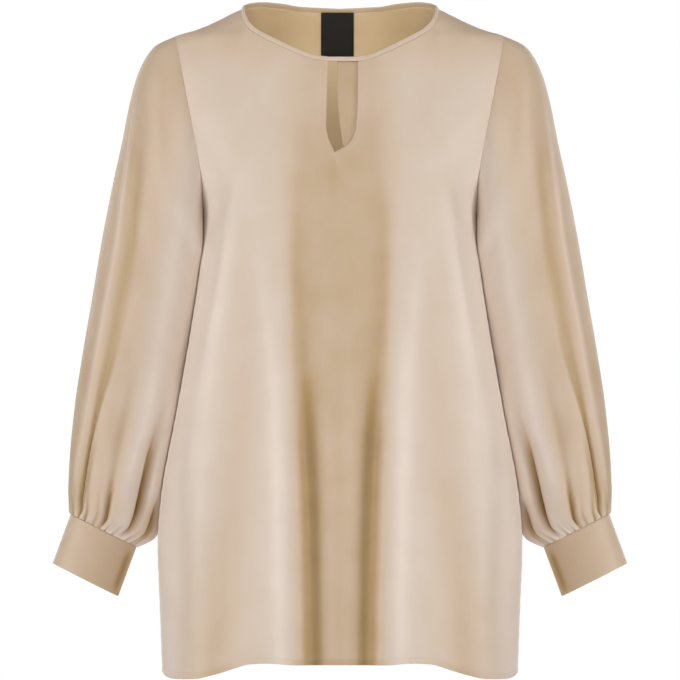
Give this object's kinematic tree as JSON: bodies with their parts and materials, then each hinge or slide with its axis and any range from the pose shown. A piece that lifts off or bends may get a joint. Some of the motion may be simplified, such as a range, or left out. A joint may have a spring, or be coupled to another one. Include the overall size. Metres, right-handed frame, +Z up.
{
  "type": "long-sleeved blouse",
  "caption": "Loose blouse with a round neck, a narrow keyhole at the front, full sleeves gathered into deep cuffs and a flared hem, filled out as if worn",
  "frame": {"origin": "midway between the tops of the two shoulder seams and 7 mm above them, level with the neck's rim there, where the wearer's shoulders hold the blouse up", "axes": "+Z up out of the neck, the front faces -Y, and the wearer's left sleeve is on +X"},
  "size_m": [0.6612, 0.2901, 0.7759],
  "materials": {
    "cloth": "satin-backed crepe, beige",
    "label": "woven label, plain black"
  },
  "bodies": {
    "root": {"front_panel": "cloth", "back_panel": "cloth", "sleeve_left": "cloth", "sleeve_right": "cloth", "cuff_left": "cloth", "cuff_right": "cloth", "neck_binding": "cloth", "keyhole_underlap": "cloth", "neck_label": "label"}
  },
  "joints": []
}
